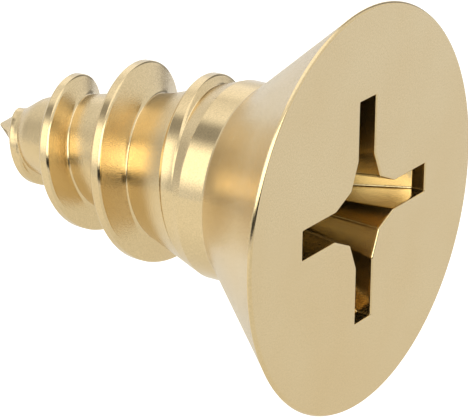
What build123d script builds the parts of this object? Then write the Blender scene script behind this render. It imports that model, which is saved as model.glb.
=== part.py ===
"""Short brass wood screw: flat countersunk head, cross recess, plain neck and a tapered right-hand thread.

The real screw is headed, recessed and threaded from one piece of brass, so it is one solid.
Sizes are in millimetres. The origin is the centre of the head's flat face.
The face looks along -Y, the screw runs along +Y to its point, and one pair of recess arms runs along Z.
"""

import math
import os

from build123d import *

os.makedirs("parts", exist_ok=True)

# Overall sizes, number 4 gauge
length = 6.19
head_diameter = 5.715
neck_diameter = 2.81

# Head
head_cone_angle = 82.0
rim_edge_depth = 0.048
rim_edge_inset = 0.025

# Neck, run-out cone, thread root and point
neck_length = 0.398
runout_length = 1.185
root_diameter = 1.99
taper_share = 0.55
taper_diameter = 1.55
point_length = 0.79
point_base_diameter = 1.09
point_tip_diameter = 0.02

# Thread, its places along the screw given as distances before the point or behind the neck's end
pitch = 1.11
crest_width = 0.15
flank_angle = 26.0
phase_before_point = 2.712
ridge_start_before_neck_end = 0.136
low_crest_behind_neck_end = 0.384
full_crest_behind_neck_end = 0.584
crest_taper_before_point = 2.468
thread_diameter = 2.81
starting_crest_diameter = 2.67
starting_crest_extra = 0.08
crest_steps = ((1.325, 1.99), (0.77, 1.60), (0.492, 0.87), (0.326, 0.75), (0.192, 0.66), (0.081, 0.46))
crest_ease_turn = 0.1
lead_loss_before_point = 1.047
lead_loss = 0.36
sections_per_turn = 16

# Cross recess
recess_span = 3.19
recess_arm_width = 0.42
recess_facet_angle = 138.0
recess_core_span = 1.08
arm_end_depth = 0.21
arm_floor_slope = 29.0
facet_slope = 5.75
arm_side_slope = 1.0
recess_shoulder_depth = 1.90
recess_point_slope = 28.0
recess_edge_break = 0.02

# Places worked out from those sizes, as distances from the face
cone_length = (head_diameter - neck_diameter) / 2 / math.tan(math.radians(head_cone_angle / 2))
cone_end = rim_edge_depth + cone_length
neck_end = cone_end + neck_length
runout_end = neck_end + runout_length
point_base_at = length - point_length
taper_at = runout_end + (point_base_at - runout_end) * taper_share
phase_at = length - phase_before_point


def turn_at(along):
    """Turns from the phase mark for a place along the screw."""
    return (along - phase_at) / pitch


def core_points():
    """Half profile of the screw without its thread, as (radius, distance from the face)."""
    head_radius = head_diameter / 2
    neck_radius = neck_diameter / 2
    return [
        (0, 0),
        (head_radius - rim_edge_inset, 0),
        (head_radius, rim_edge_depth),
        (neck_radius, cone_end),
        (neck_radius, neck_end),
        (root_diameter / 2, runout_end),
        (taper_diameter / 2, taper_at),
        (point_base_diameter / 2, point_base_at),
        (point_tip_diameter / 2, length),
        (0, length),
    ]


def core_body():
    """Head, neck, run-out cone, thread root and point, turned about the Y axis."""
    profile = Plane.XY * make_face(Polyline(*core_points(), close=True))
    return revolve(profile, axis=Axis.Y)


def crest_places():
    """The crest as (turns from the phase mark, radius), from its start beside the neck to the point."""
    places = [
        (turn_at(neck_end - ridge_start_before_neck_end), starting_crest_diameter / 2),
        (turn_at(neck_end + low_crest_behind_neck_end), starting_crest_diameter / 2),
        (turn_at(neck_end + full_crest_behind_neck_end), thread_diameter / 2),
        (turn_at(length - crest_taper_before_point), thread_diameter / 2),
    ]
    for before_point, diameter in crest_steps:
        places.append((turn_at(length - before_point), diameter / 2))
    return places


def straight_crest_radius(turn):
    """Radius of the thread crest at a number of turns, straight between the places."""
    places = crest_places()
    for (a, radius_a), (b, radius_b) in zip(places, places[1:]):
        if turn <= b:
            return radius_a + (radius_b - radius_a) * (turn - a) / (b - a)
    return places[-1][1]


def crest_radius(turn):
    """Radius of the thread crest with its bends eased over a short part of a turn."""
    shares = (-1.0, -0.5, 0.0, 0.5, 1.0)
    return sum(straight_crest_radius(turn + crest_ease_turn * s) for s in shares) / len(shares)


def crest_at(turn):
    """Distance of the crest's middle from the face; the lead tightens over the last turn."""
    late = max(turn - turn_at(length - lead_loss_before_point), 0.0)
    return phase_at + pitch * turn - lead_loss * late * late


def head_side_extra(turn):
    """Extra crest width on the head's side, where the ridge starts beside the neck."""
    low = turn_at(neck_end + low_crest_behind_neck_end)
    full = turn_at(neck_end + full_crest_behind_neck_end)
    part = min(max((full - turn) / (full - low), 0.0), 1.0)
    return starting_crest_extra * part


def ridge_section(turn):
    """Cross-section of the thread ridge in the plane through the axis at one turn value."""
    at = crest_at(turn)
    top = crest_radius(turn)
    foot = max(0.04, top - 0.75)
    half_top = crest_width / 2
    extra = head_side_extra(turn)
    half_foot = half_top + (top - foot) * math.tan(math.radians(flank_angle))
    angle = math.pi - 2 * math.pi * turn
    out = (math.cos(angle), math.sin(angle))
    corners = []
    for radius, along in (
        (foot, -half_foot - extra),
        (top, -half_top - extra),
        (top, half_top),
        (foot, half_foot),
    ):
        corners.append((radius * out[0], at + along, radius * out[1]))
    return Face(Wire.make_polygon([Vector(*c) for c in corners], close=True))


def thread_ridge():
    """The right-hand thread ridge as half-turn lengths, their feet buried in the core."""
    first_turn = crest_places()[0][0]
    turns = crest_places()[-1][0] - first_turn
    count = round(turns * sections_per_turn)
    wires = []
    for i in range(count + 1):
        wires.append(ridge_section(first_turn + turns * i / count).outer_wire())
    half_turn = sections_per_turn // 2
    lengths = []
    for first in range(0, count, half_turn):
        lengths.append(Solid.make_loft(wires[first : first + half_turn + 1], ruled=False))
    return lengths


def recess_outline(depth, grow=0.0):
    """Corners of the cross recess at a depth as (x, z), grown outwards by a small amount."""
    lean = math.radians((recess_facet_angle - 90) / 2)
    spread = math.cos(lean) + math.sin(lean)
    half_arm = recess_arm_width / 2 - depth * math.tan(math.radians(arm_side_slope)) + grow
    reach = recess_span / 2 + grow
    facet_at = recess_core_span / 2 * spread / math.sqrt(2)
    facet_at = facet_at - depth * math.tan(math.radians(facet_slope)) + grow
    corner = facet_at / spread
    shoulder = (facet_at - half_arm * math.cos(lean)) / math.sin(lean)
    corners = []
    for turns in range(4):
        quarter = [
            (half_arm, reach),
            (half_arm, shoulder),
            (corner, corner),
            (shoulder, half_arm),
            (reach, half_arm),
        ]
        for _ in range(turns):
            quarter = [(z, -x) for x, z in quarter]
        corners.extend(quarter)
    return corners


def recess_ring(depth, grow=0.0):
    """The recess outline as a closed wire at a depth below the face."""
    corners = recess_outline(depth, grow)
    return Wire.make_polygon([Vector(x, depth, z) for x, z in corners], close=True)


def cross_recess():
    """Tool body for the recess: short upright arm ends, sloping arm floors and a blunt conical bottom."""
    floor_run = (recess_shoulder_depth - arm_end_depth) * math.tan(math.radians(arm_floor_slope))
    shoulder_radius = recess_span / 2 - floor_run
    bottom = recess_shoulder_depth + shoulder_radius * math.tan(math.radians(recess_point_slope))
    arms = Solid.make_loft([recess_ring(0.0), recess_ring(bottom)], ruled=True)
    limit = Polyline(
        (0, -0.5),
        (head_diameter, -0.5),
        (head_diameter, arm_end_depth),
        (recess_span / 2, arm_end_depth),
        (shoulder_radius, recess_shoulder_depth),
        (0, bottom),
        close=True,
    )
    envelope = revolve(Plane.XY * make_face(limit), axis=Axis.Y)
    lip = Solid.make_loft(
        [recess_ring(0.0, recess_edge_break), recess_ring(recess_edge_break)], ruled=True
    )
    return (arms & envelope) + lip


def wood_screw():
    """The whole screw as one solid."""
    body = core_body()
    for ridge in thread_ridge():
        body = body + ridge
    body = body - cross_recess()
    return body.solid()


screw = wood_screw()
size = screw.bounding_box().size
print("screw", "valid", screw.is_valid, "volume", round(screw.volume, 3))
print("size", round(size.X, 3), round(size.Y, 3), round(size.Z, 3))
export_step(screw, "parts/screw.step")
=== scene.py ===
# %% [markdown]
# # A short brass wood screw
# The real screw is one piece of brass: a flat countersunk head with a cross recess, a plain neck
# and a tapered thread that ends in a point. The imported CAD model gives its place and size.
# This lesson builds a finer mesh over that model, because a headed and rolled metal surface only
# looks right when its edges are rounded and its curves have no visible facets.

# %% Load the CAD model and keep its meshes
import math

import bmesh
import bpy
from mathutils import Matrix, Vector


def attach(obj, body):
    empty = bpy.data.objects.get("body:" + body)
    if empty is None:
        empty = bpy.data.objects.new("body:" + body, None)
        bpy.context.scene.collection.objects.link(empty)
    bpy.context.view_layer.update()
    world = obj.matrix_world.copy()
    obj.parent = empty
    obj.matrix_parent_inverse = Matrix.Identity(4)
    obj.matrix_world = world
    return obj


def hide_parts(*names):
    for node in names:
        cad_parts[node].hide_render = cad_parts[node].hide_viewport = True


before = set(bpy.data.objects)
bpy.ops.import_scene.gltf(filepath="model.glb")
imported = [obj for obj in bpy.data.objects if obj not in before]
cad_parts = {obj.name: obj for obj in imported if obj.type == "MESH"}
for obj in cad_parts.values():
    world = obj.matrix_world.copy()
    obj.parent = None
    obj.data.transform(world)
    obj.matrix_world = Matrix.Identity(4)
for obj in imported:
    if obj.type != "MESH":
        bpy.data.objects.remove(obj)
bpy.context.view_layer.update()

# %% [markdown]
# ## Sizes
# Every size is in millimetres and has the CAD model's value. The origin is the centre of the head's
# flat face, the head looks along -Y and the point is at +Y. The mesh is scaled to metres at the end.
# The shape could be cut with booleans, but those leave uneven faces that show as ripples in polished
# metal. Here the whole skin is laid out as rings with one vertex per degree, which stays smooth.

# %% Head and neck sizes
length = 6.19
head_radius = 5.715 / 2
neck_radius = 2.81 / 2
head_cone_angle = 82.0
rim_edge_depth = 0.048
rim_edge_inset = 0.025
neck_length = 0.398
steps = 360
cone_slope = math.tan(math.radians(head_cone_angle / 2))
cone_end = rim_edge_depth + (head_radius - neck_radius) / cone_slope
neck_end = cone_end + neck_length
print("the cone ends", round(cone_end, 3), "mm behind the face, the neck at", round(neck_end, 3))


# %% A ring of points around the screw's axis
def on_ring(radius, along, degree):
    """A point at a radius and a distance behind the face, turned from +X towards +Z."""
    angle = math.radians(degree)
    return Vector((radius * math.cos(angle), along, radius * math.sin(angle)))


def turned_ring(radius, along):
    """A full circle of points, one for each degree."""
    return [on_ring(radius, along, degree) for degree in range(steps)]


# %% [markdown]
# ## The cross recess
# A punch forms the cross: four arms with short upright ends and sloping floors, flat facets between
# the arms and a blunt conical bottom. Each ring of the mesh follows the outline of the cross at one
# depth. The counts below share out a quarter's 90 vertices, so that each lies near its own degree.

# %% Recess sizes
recess_span = 3.19
recess_arm_width = 0.42
recess_facet_angle = 138.0
recess_core_span = 1.08
arm_end_depth = 0.21
arm_floor_slope = math.tan(math.radians(29.0))
facet_slope = math.tan(math.radians(5.75))
arm_side_slope = math.tan(math.radians(1.0))
recess_shoulder_depth = 1.90
recess_point_slope = math.tan(math.radians(28.0))
recess_edge_break = 0.022
corner_reach = 0.022
side_counts = (4, 5, 24, 24, 5, 4)
corner_counts = (5, 5, 4, 5, 5)


# %% Corners of the cross at one depth
def cross_quarter(depth, grow):
    """Corners of one quarter of the cross, from the middle of one arm's end to the next arm's."""
    lean = math.radians((recess_facet_angle - 90) / 2)
    spread = math.cos(lean) + math.sin(lean)
    half_arm = recess_arm_width / 2 - depth * arm_side_slope + grow
    reach = recess_span / 2 - max(depth - arm_end_depth, 0.0) * arm_floor_slope + grow
    facet_at = recess_core_span / 2 * spread / math.sqrt(2) - depth * facet_slope + grow
    corner = facet_at / spread
    shoulder = (facet_at - half_arm * math.cos(lean)) / math.sin(lean)
    places = [
        (reach, 0.0),
        (reach, half_arm),
        (shoulder, half_arm),
        (corner, corner),
        (half_arm, shoulder),
        (half_arm, reach),
        (0.0, reach),
    ]
    return [Vector(place) for place in places]


# %% The outline with rounded corners
def rounded_quarter(corners):
    """Vertices along the corners, each inner corner rounded by a short curve."""
    points = []
    start = corners[0]
    for i, corner in enumerate(corners[1:]):
        last = i == len(corners) - 2
        before = (corner - corners[i]).length
        end = corner
        if not last:
            after = (corners[i + 2] - corner).length
            reach = min(corner_reach, before * 0.4, after * 0.4)
            end = corner + (corners[i] - corner).normalized() * reach
            leave = corner + (corners[i + 2] - corner).normalized() * reach
        for step in range(side_counts[i]):
            points.append(start.lerp(end, (step + (0.0 if i == 0 else 0.5)) / side_counts[i]))
        if not last:
            for step in range(corner_counts[i]):
                share = step / (corner_counts[i] - 1)
                points.append(end.lerp(corner, share).lerp(corner.lerp(leave, share), share))
            start = leave
    return points


def cross_outline(depth, grow=0.0):
    """The full outline as (x, z) vectors, one for each degree."""
    quarter = rounded_quarter(cross_quarter(depth, grow))
    outline = []
    for turn in range(4):
        for place in quarter:
            x, z = place
            for _ in range(turn):
                x, z = -z, x
            outline.append(Vector((x, z)))
    return outline


def recess_ring(depth, grow=0.0):
    """The cross's outline as points at its depth below the face."""
    return [Vector((x, depth, z)) for x, z in cross_outline(depth, grow)]


print("points in one outline:", len(cross_outline(0.0)))

# %% [markdown]
# ### The bottom of the recess
# The walls run down to a blunt cone. Where each wall meets it depends on how far the wall is from
# the axis, so the foot ring is found by stepping: guess a depth, read the outline, correct the guess.

# %% The foot of the walls and the bottom's apex
foot_reach = recess_span / 2 - (recess_shoulder_depth - arm_end_depth) * arm_floor_slope
recess_bottom = recess_shoulder_depth + foot_reach * recess_point_slope
outlines = {}


def outline_near(depth):
    """The outline at a depth rounded to a thousandth of a millimetre, kept for the next call."""
    key = round(depth, 3)
    if key not in outlines:
        outlines[key] = cross_outline(key)
    return outlines[key]


def foot_ring():
    """The ring where the walls meet the blunt cone at the bottom."""
    ring = []
    for degree in range(steps):
        depth = recess_shoulder_depth
        for _ in range(30):
            place = outline_near(depth)[degree]
            depth = recess_bottom - place.length * recess_point_slope
        ring.append(Vector((place.x, depth, place.y)))
    return ring


foot = foot_ring()
print("recess depth:", round(recess_bottom, 3))

# %% [markdown]
# ### Finish marks and painted shade
# Cold forming leaves some surfaces polished and others satin: the neck, the thread's crest and the
# root's corner were rubbed by the die and shine, while the cone, the flanks and the face are matt.
# Each ring therefore carries two numbers for the material: how polished it is, and how deep in the
# recess, which sets how much painted shade darkens and browns the brass there. Painting them with a
# texture would need an unwrapped mesh; numbers on the vertices don't.

# %% Rings from the bottom of the recess up to the face
rings = []


def add_ring(points, polish, recess=0.0):
    """Keep a ring with its polish and how deep in the recess it lies, both from 0 to 1; the depth sets
    its painted shade.
    """
    rings.append((points, polish, recess))


# The third number is the ring's depth in the recess, which sets its painted shade: full at the bottom,
# fading out at the face.
for share in (0.004, 0.35, 0.7, 0.93):
    inward = [Vector((p.x, p.y - recess_bottom, p.z)) * share for p in foot]
    add_ring([p + Vector((0.0, recess_bottom, 0.0)) for p in inward], 0.2, 1.0)
add_ring(foot, 0.2, 1.0)
for depth in (1.7, 1.4, 1.0, 0.7, 0.45, 0.3):
    add_ring(recess_ring(depth), 0.35, min(0.25 + depth / 1.2, 1.0))
for step in (0.03, 0.012, 0.004, -0.004, -0.012, -0.03):
    add_ring(recess_ring(arm_end_depth + step), 0.5, 0.4)
for depth in (0.12, 0.06):
    add_ring(recess_ring(depth), 0.35, min(0.25 + depth / 1.2, 1.0))
for step in range(5):
    angle = math.radians(90 * step / 4)
    grow = recess_edge_break * (1 - math.cos(angle))
    depth = recess_edge_break * (1 - math.sin(angle))
    add_ring(recess_ring(depth, grow), 0.7, 0.25 - 0.25 * step / 4)
print("rings in the recess:", len(rings))

# %% [markdown]
# ## Head, rim and neck
# The face is flat out to a rim that is rounded by a few hundredths of a millimetre. That tiny
# rounding is what catches the light as a fine bright line around the head. The cone runs down to the
# neck through a small fillet.

# %% Face, rim, cone and neck rings
face_edge = turned_ring(head_radius - rim_edge_inset, 0.0)
recess_mouth = recess_ring(0.0, recess_edge_break)
for share in (0.006, 0.25, 0.6, 0.9, 0.985):
    add_ring([a.lerp(b, share) for a, b in zip(recess_mouth, face_edge)], 0.0)
rim_profile = [
    (-0.034, 0.0),
    (-0.030, 0.0008),
    (-0.025, 0.0036),
    (-0.018, 0.0105),
    (-0.010, 0.0215),
    (-0.004, 0.034),
    (-0.0008, 0.044),
    (-0.0003, 0.050),
    (-0.003, 0.0555),
    (-0.0085, 0.0605),
]
for inset, along in rim_profile:
    add_ring(turned_ring(head_radius + inset, along), 0.9)
for share in (0.015, 0.3, 0.5, 0.7, 0.9, 0.97, 0.985):
    along = rim_edge_depth + (cone_end - rim_edge_depth) * share
    add_ring(turned_ring(head_radius - (along - rim_edge_depth) * cone_slope, along), 0.0)
for lift, shift in ((0.014, -0.012), (0.006, -0.001), (0.0015, 0.01), (0.0, 0.022), (0.0, 0.03)):
    add_ring(turned_ring(neck_radius + lift, cone_end + shift), 0.8)
for along in (cone_end + 0.1, (cone_end + neck_end) / 2, neck_end - 0.03, neck_end - 0.008):
    add_ring(turned_ring(neck_radius, along), 1.0)
add_ring(turned_ring(neck_radius, neck_end), 1.0)
print("rings to the neck's end:", len(rings))

# %% [markdown]
# ## The thread
# The rolled thread is a ridge that winds around a tapering core. Its height fades in beside the neck
# and fades out at the point, where its lead also tightens a little. A strip of quads follows the
# helix: each column crosses one pitch, with its vertices gathered at the crest's edges and at the foot
# of each flank. Points that would run into the neck or past the point are held at that end, so the
# strip closes on plain rings.

# %% Core sizes
runout_end = neck_end + 1.185
point_base_at = length - 0.79
taper_at = runout_end + (point_base_at - runout_end) * 0.55
core_profile = [
    (neck_end, neck_radius),
    (runout_end, 1.99 / 2),
    (taper_at, 1.55 / 2),
    (point_base_at, 1.09 / 2),
    (length, 0.01),
]

# %% Thread sizes
pitch = 1.11
crest_width = 0.15
flank = math.tan(math.radians(26.0))
phase_at = length - 2.712
lead_loss_turn = 1.5
lead_loss = 0.36
root_round = 0.045


def turn_at(along):
    """Turns from the phase mark for a place along the screw."""
    return (along - phase_at) / pitch


# %% Crest: its edge as (distance past the edge, drop), its height as (turns, radius)
ridge_start = turn_at(neck_end - 0.136)
low_crest_end = turn_at(neck_end + 0.384)
full_crest_start = turn_at(neck_end + 0.584)
head_side_extra = [(low_crest_end, 0.08), (full_crest_start, 0.0)]
crest_edge = [
    (-0.030, 0.0),
    (-0.023, 0.0006),
    (-0.018, 0.0026),
    (-0.002, 0.0140),
    (0.005, 0.0200),
    (0.010, 0.0280),
    (0.014, 0.0360),
    (2.0, 0.0360 + 1.986 / flank),
]
crest_profile = [
    (ridge_start, 2.67 / 2),
    (low_crest_end, 2.67 / 2),
    (full_crest_start, 2.81 / 2),
    (turn_at(length - 2.468), 2.81 / 2),
    (1.25, 1.99 / 2),
    (1.75, 1.60 / 2),
    (2.00, 0.87 / 2),
    (2.15, 0.75 / 2),
    (2.27, 0.66 / 2),
    (2.37, 0.46 / 2),
    (2.52, 0.02 / 2),
]


# %% Core and crest heights
def between(points, at):
    """Straight-line value from a list of (position, value) points."""
    if at <= points[0][0]:
        return points[0][1]
    for (a, va), (b, vb) in zip(points, points[1:]):
        if at <= b:
            return va + (vb - va) * (at - a) / (b - a)
    return points[-1][1]


def eased(points, at, reach):
    """The same value averaged over a short reach, so that bends are rounded."""
    shares = (-1.0, -0.5, 0.0, 0.5, 1.0)
    return sum(between(points, at + reach * share) for share in shares) / len(shares)


def core_radius(along):
    """Radius of the core, its bends rounded everywhere but at the very point."""
    return eased(core_profile, along, 0.03 if along < length - 0.06 else 0.002)


def crest_radius(turn):
    """Radius of the crest, its bends rounded over a short part of a turn."""
    return eased(crest_profile, turn, 0.09)


def crest_at(turn):
    """Distance of the crest's middle from the face."""
    late = max(turn - lead_loss_turn, 0.0)
    return phase_at + pitch * turn - lead_loss * late * late


# %% The skin across one pitch
def crest_half(turn, sign):
    """Half of the crest's width; beside the neck the crest is wider on the head's side."""
    return crest_width / 2 + (between(head_side_extra, turn) if sign < 0 else 0.0)


def ridge_drop(turn, offset):
    """How far the ridge's surface lies below the crest, at a distance from the crest's middle."""
    return between(crest_edge, abs(offset) - crest_half(turn, offset))


def soft_max(a, b, width):
    """The larger of two numbers, rounded where they cross."""
    gap = max(width - abs(a - b), 0.0) / width
    return max(a, b) + gap * gap * width / 4


def skin_radius(turn, offset, along):
    """Radius of the metal's surface: the ridge or the core, whichever is larger."""
    ridge = crest_radius(turn) - ridge_drop(turn, offset)
    return soft_max(core_radius(along), ridge, root_round)


# %% Where a column's vertices lie across one pitch
shiny = 1.0
matt = 0.0
root_shine = 0.95
root_margin = 0.03
seam_margin = 0.06
least_gap = 0.001


def side_stations(turn, sign, limit):
    """Distances from the crest's middle out to one side, with a polish for each."""
    half = crest_half(turn, sign)
    reach = half
    for _ in range(4):
        rise = max(crest_radius(turn) - core_radius(crest_at(turn) + sign * reach), 0.0)
        reach = half + rise * flank
    reach = min(reach, limit - seam_margin)
    stations = [(0.0, shiny), (half * 0.5, shiny), (half - 0.034, shiny)]
    stations += [(half + over, shiny) for over, _ in crest_edge[:-1]]
    wall_start = half + crest_edge[-2][0]
    wall_length = reach - root_margin - wall_start
    stations += [(wall_start + wall_length * s, matt) for s in (0.06, 0.36, 0.64, 0.92)]
    stations += [(reach + s, root_shine) for s in (-0.022, -0.011, 0.0, 0.011, 0.022)]
    root_start = reach + root_margin
    root_length = limit - reach - root_margin
    stations += [(root_start + root_length * s, matt) for s in (0.0, 0.25, 0.5, 0.75, 1.0)]
    ordered = [stations[0]]
    for distance, polish in stations[1:]:
        ordered.append((max(distance, ordered[-1][0] + least_gap), polish))
    return ordered


def column_stations(turn):
    """(offset from the crest, polish) from half a pitch before the nominal helix to half after."""
    slip = crest_at(turn) - phase_at - pitch * turn
    before = side_stations(turn, -1, pitch / 2 + slip)
    after = side_stations(turn, 1, pitch / 2 - slip)
    return [(-d, polish) for d, polish in reversed(before)] + after[1:]


print("vertices across one pitch:", len(column_stations(0.0)))

# %% Lay the strip of columns, from well inside the neck to past the point
first_turn = -2
last_turn = 3
strip_end = length - 0.02
columns = []
for count in range(first_turn * steps, last_turn * steps + 1):
    turn = count / steps
    column = []
    for offset, polish in column_stations(turn):
        along = min(max(crest_at(turn) + offset, neck_end), strip_end)
        if along == neck_end:
            radius = neck_radius
        elif along == strip_end:
            radius = core_radius(strip_end)
        else:
            radius = skin_radius(turn, offset, along)
        column.append((on_ring(radius, along, 180 - count), polish))
    columns.append(column)
print("columns:", len(columns))

# %% Join rings and columns into one mesh
skin = bmesh.new()
polish_layer = skin.verts.layers.float.new("polish")
# The recess number on each vertex sets how much painted shade the brass gets there.
recess_shade_layer = skin.verts.layers.float.new("recess")


def add_vertex(point, polish, recess):
    """A vertex that carries its two finish numbers."""
    vertex = skin.verts.new(point)
    vertex[polish_layer] = polish
    vertex[recess_shade_layer] = recess
    return vertex


def add_quads(rows, closed):
    """Quads between neighbouring rows of vertices."""
    for low, high in zip(rows, rows[1:]):
        count = len(low)
        for i in range(count if closed else count - 1):
            j = (i + 1) % count
            skin.faces.new((low[i], low[j], high[j], high[i]))


ring_rows = [[add_vertex(p, polish, recess) for p in points] for points, polish, recess in rings]
column_rows = [[add_vertex(p, polish, 0.0) for p, polish in column] for column in columns]
add_quads(ring_rows, True)
add_quads(column_rows, False)
point_rows = [
    turned_ring(core_radius(strip_end), strip_end),
    turned_ring(0.003, length - 0.002),
]
add_quads([[add_vertex(p, 0.0, 0.0) for p in row] for row in point_rows], True)
weld_distance = 0.00005
speck_distance = 0.00001
metres = 0.001
bmesh.ops.remove_doubles(skin, verts=skin.verts, dist=weld_distance)
bmesh.ops.dissolve_degenerate(skin, edges=skin.edges, dist=speck_distance)
bmesh.ops.holes_fill(skin, edges=skin.edges, sides=0)
bmesh.ops.recalc_face_normals(skin, faces=skin.faces)
bmesh.ops.scale(skin, vec=(metres, metres, metres), verts=skin.verts)
open_edges = sum(1 for edge in skin.edges if not edge.is_manifold)
print("open edges:", open_edges, "volume mm3:", round(skin.calc_volume() * 1e9, 3))

# %% The screw rides on the CAD body and stands for its node
mesh = bpy.data.meshes.new("brass_screw")
skin.to_mesh(mesh)
skin.free()
mesh.shade_smooth()
mesh.set_sharp_from_angle(angle=math.radians(24))
screw = bpy.data.objects.new("brass_screw", mesh)
bpy.context.scene.collection.objects.link(screw)
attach(screw, "root")
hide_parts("screw")
print("faces:", len(mesh.polygons))

# %% [markdown]
# ## Node tools
# The brass, the card and the studio are all node trees. These helpers add nodes to whichever tree
# `nodes` and `links` point at, so each cell below first points them at its own tree.

# %% Helpers that add and join nodes
def node(kind, **settings):
    made = nodes.new(kind)
    for name, value in settings.items():
        setattr(made, name, value)
    return made


def feed(socket, value):
    """Link a node's output into a socket, or set a plain number or colour on it."""
    if isinstance(value, bpy.types.NodeSocket):
        links.new(value, socket)
    else:
        socket.default_value = value


def math_node(operation, a, b=0.0, c=0.0):
    made = node("ShaderNodeMath", operation=operation)
    for socket, value in zip(made.inputs, (a, b, c)):
        feed(socket, value)
    return made.outputs[0]


def map_range(value, low, high, to_low, to_high):
    made = node("ShaderNodeMapRange")
    for socket, number in zip(made.inputs, (value, low, high, to_low, to_high)):
        feed(socket, number)
    return made.outputs["Result"]


def mix_colour(share, first, second):
    made = node("ShaderNodeMix", data_type="RGBA")
    feed(made.inputs["Factor"], share)
    feed(made.inputs["A"], first)
    feed(made.inputs["B"], second)
    return made.outputs["Result"]


def noise(scale, detail, roughness=0.5):
    made = node("ShaderNodeTexNoise")
    links.new(node("ShaderNodeTexCoord").outputs["Object"], made.inputs["Vector"])
    made.inputs["Scale"].default_value = scale
    made.inputs["Detail"].default_value = detail
    made.inputs["Roughness"].default_value = roughness
    return made.outputs["Fac"]


# %% [markdown]
# ## Brass
# Bare brass that has been cleaned but not polished is satin: its grain scatters each reflection a
# little. The colour drifts slightly from place to place. The drift, specks and grain are made with
# noise in the object's own space. Shade is painted into the recess: the brass there is coloured
# browner and darker, more so the deeper it lies, following the recess number on each vertex.

# %% Brass material
brass = bpy.data.materials.new("bright_brass")
brass.use_nodes = True
nodes = brass.node_tree.nodes
links = brass.node_tree.links
shader = nodes["Principled BSDF"]
shader.inputs["Metallic"].default_value = 1.0
polish = node("ShaderNodeAttribute", attribute_name="polish").outputs["Fac"]
# How deep in the recess a vertex lies; it drives the painted shade in the colour.
recess = node("ShaderNodeAttribute", attribute_name="recess").outputs["Fac"]

# %% Colour, roughness and grain
clean = (0.83, 0.662, 0.388, 1.0)
warm = (0.81, 0.63, 0.355, 1.0)
dull = (0.46, 0.36, 0.20, 1.0)
# Painted shade: the darker, browner colour given to the recess.
painted_recess_shade = (0.60, 0.50, 0.295, 1.0)
drift = map_range(noise(700.0, 3.0), 0.35, 0.65, 0.0, 1.0)
speck = map_range(noise(42000.0, 2.0, 0.7), 0.3, 0.7, 0.0, 1.0)
colour = mix_colour(drift, clean, warm)
colour = mix_colour(math_node("MULTIPLY", speck, 0.40), colour, dull)
# Painted shade: the deeper in the recess, the darker and browner the colour.
colour = mix_colour(recess, colour, painted_recess_shade)
feed(shader.inputs["Base Color"], colour)
polished = 0.11
satin = map_range(noise(2600.0, 4.0), 0.3, 0.7, 0.15, 0.20)
satin = math_node("MULTIPLY_ADD", speck, 0.08, satin)
rough = math_node("MULTIPLY_ADD", math_node("SUBTRACT", polished, satin), polish, satin)
feed(shader.inputs["Roughness"], rough)
grain = node("ShaderNodeBump")
grain.inputs["Distance"].default_value = 0.000004
feed(grain.inputs["Height"], noise(52000.0, 2.0, 0.6))
feed(grain.inputs["Strength"], map_range(polish, 0.0, 1.0, 0.5, 0.08))
feed(shader.inputs["Normal"], grain.outputs["Normal"])
mesh.materials.append(brass)
print("brass nodes:", len(nodes))

# %% [markdown]
# ## Floor
# A sheet of white card lies well below the screw, so the metal has something pale to reflect from
# underneath and no hard shadow falls near it. Light is painted into the card's colour: it is made a
# little paler on the side away from the head and a little cooler far out in front of the face, as
# uneven light on the floor. To the camera alone it also glows slightly, a painted glow, so it looks
# evenly white.

# %% Floor
floor_half_size = 0.17
floor_depth = 0.03
floor_mesh = bpy.data.meshes.new("floor")
pad = bmesh.new()
bmesh.ops.create_grid(pad, x_segments=1, y_segments=1, size=floor_half_size)
pad.to_mesh(floor_mesh)
pad.free()
floor = bpy.data.objects.new("floor", floor_mesh)
floor.location = (0.0, 0.0, -floor_depth)
bpy.context.scene.collection.objects.link(floor)

# %% White card
paper = bpy.data.materials.new("white_card")
paper.use_nodes = True
nodes = paper.node_tree.nodes
links = paper.node_tree.links
card = nodes["Principled BSDF"]
card_place = node("ShaderNodeNewGeometry").outputs["Position"]


def across_card(direction):
    """Distance in metres over the card along a direction."""
    made = node("ShaderNodeVectorMath", operation="DOT_PRODUCT")
    feed(made.inputs[0], card_place)
    feed(made.inputs[1], direction)
    return made.outputs["Value"]


# Painted light: the card's colour is paler away from the head and cooler far in front of the face.
paleness = map_range(across_card((-0.6, 0.8, 0.0)), 0.015, 0.040, 0.72, 0.83)
coolness = map_range(across_card((0.87, -0.5, 0.0)), 0.055, 0.095, 0.0, 1.0)
hue = mix_colour(coolness, (1.01, 0.985, 0.93, 1.0), (1.03, 1.06, 1.14, 1.0))
tone = node("ShaderNodeVectorMath", operation="MULTIPLY")
feed(tone.inputs[0], hue)
feed(tone.inputs[1], paleness)
feed(card.inputs["Base Color"], tone.outputs["Vector"])
card.inputs["Roughness"].default_value = 1.0
card.inputs["Specular IOR Level"].default_value = 0.0
card.inputs["Emission Color"].default_value = (1.0, 1.0, 1.0, 1.0)
# Painted glow: the card emits a little light to the camera alone.
seen = node("ShaderNodeLightPath").outputs["Is Camera Ray"]
feed(card.inputs["Emission Strength"], math_node("MULTIPLY", seen, 0.6))
floor_mesh.materials.append(paper)
print("card nodes:", len(nodes))

# %% [markdown]
# ## Light
# Polished metal shows its surroundings, so the studio is described as a whole: a pale room with big
# soft panels and a few darker gaps between them. Lamps would do, but a world shader can give each
# panel a soft edge. Each panel is a patch of the sky between two bearings and two heights.

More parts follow.
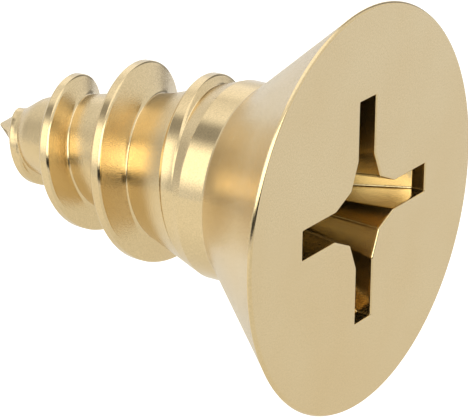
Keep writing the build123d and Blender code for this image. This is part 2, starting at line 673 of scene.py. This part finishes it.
# %% The studio as a world
world = bpy.data.worlds.new("studio")
world.use_nodes = True
nodes = world.node_tree.nodes
links = world.node_tree.links
sky = node("ShaderNodeTexCoord").outputs["Generated"]
split = node("ShaderNodeSeparateXYZ")
links.new(sky, split.inputs["Vector"])
degrees = 180 / math.pi
bearing = math_node("ARCTAN2", split.outputs["Y"], split.outputs["X"])
bearing = math_node("MULTIPLY", bearing, degrees)
height = math_node("MULTIPLY", math_node("ARCSINE", split.outputs["Z"]), degrees)


def span_mask(value, middle, half, edge):
    """1 within half of the middle, fading to 0 over an edge."""
    away = math_node("ABSOLUTE", math_node("SUBTRACT", value, middle))
    return map_range(away, half - edge / 2, half + edge / 2, 1.0, 0.0)


# %% Panels and gaps: bearing, half width, height, half height, edge, brightness against the room
lamps = [
    (145.0, 14.0, 24.0, 18.0, 14.0, 0.95),
    (-151.0, 35.0, 30.5, 18.0, 7.0, 1.9),
]
fills = [
    (75.0, 22.0, 60.0, 10.0, 12.0, 0.2),
    (37.0, 16.0, 33.0, 14.0, 12.0, 0.33),
    (0.0, 200.0, 90.0, 28.0, 10.0, 0.52),
]
gaps = [
    (122.0, 17.0, 52.0, 9.0, 12.0, -0.48),
    (106.0, 16.0, 16.0, 12.0, 12.0, -0.27),
    (168.0, 6.0, 18.0, 26.0, 8.0, -0.35),
    (115.0, 20.0, -3.0, 9.0, 7.0, -0.15),
    (-140.0, 45.0, 2.5, 6.5, 5.0, -0.84),
    (-104.0, 8.0, 14.0, 24.0, 8.0, -0.45),
    (5.0, 8.0, 0.0, 60.0, 6.0, -0.6),
]
room = 0.87
seen_white = 1.1


def panel_sum(panels, total):
    """Add each panel's soft-edged patch of sky to a running brightness."""
    for middle, half, high, half_high, edge, gain in panels:
        across = span_mask(bearing, middle, half, edge)
        mask = math_node("MULTIPLY", across, span_mask(height, high, half_high, edge))
        total = math_node("MULTIPLY_ADD", mask, gain, total)
    return total


lamp_light = panel_sum(lamps, 0.0)
light = panel_sum(fills + gaps, math_node("ADD", lamp_light, room))
seen = node("ShaderNodeLightPath").outputs["Is Camera Ray"]
strength = math_node("MULTIPLY_ADD", math_node("SUBTRACT", seen_white, light), seen, light)
tint = mix_colour(lamp_light, (1.0, 1.0, 1.0, 1.0), (1.0, 0.98, 0.88, 1.0))
feed(nodes["Background"].inputs["Color"], tint)
feed(nodes["Background"].inputs["Strength"], strength)
bpy.context.scene.world = world
bpy.context.scene.view_settings.view_transform = "Standard"
print("panels and gaps:", len(lamps + fills + gaps))

# %% [markdown]
# ## Camera
# A long lens looks at the screw from the -X side, a little in front of its face and above it.
# Its place is in metres, and its own axes are given as the directions behind it and to its right.

# %% Camera
camera_data = bpy.data.cameras.new("camera")
camera_data.lens = 233.07
camera_data.sensor_width = 36.0
camera_data.clip_start = 0.002
camera = bpy.data.objects.new("camera", camera_data)
camera.location = (-0.03291, -0.0193535, 0.014552)
back = Vector((-0.782534, -0.510652, 0.356195))
right = Vector((0.549659, -0.835329, 0.010007))
turned = Matrix((right, back.cross(right), back)).transposed()
camera.rotation_mode = "QUATERNION"
camera.rotation_quaternion = turned.to_quaternion()
bpy.context.scene.collection.objects.link(camera)
bpy.context.scene.camera = camera
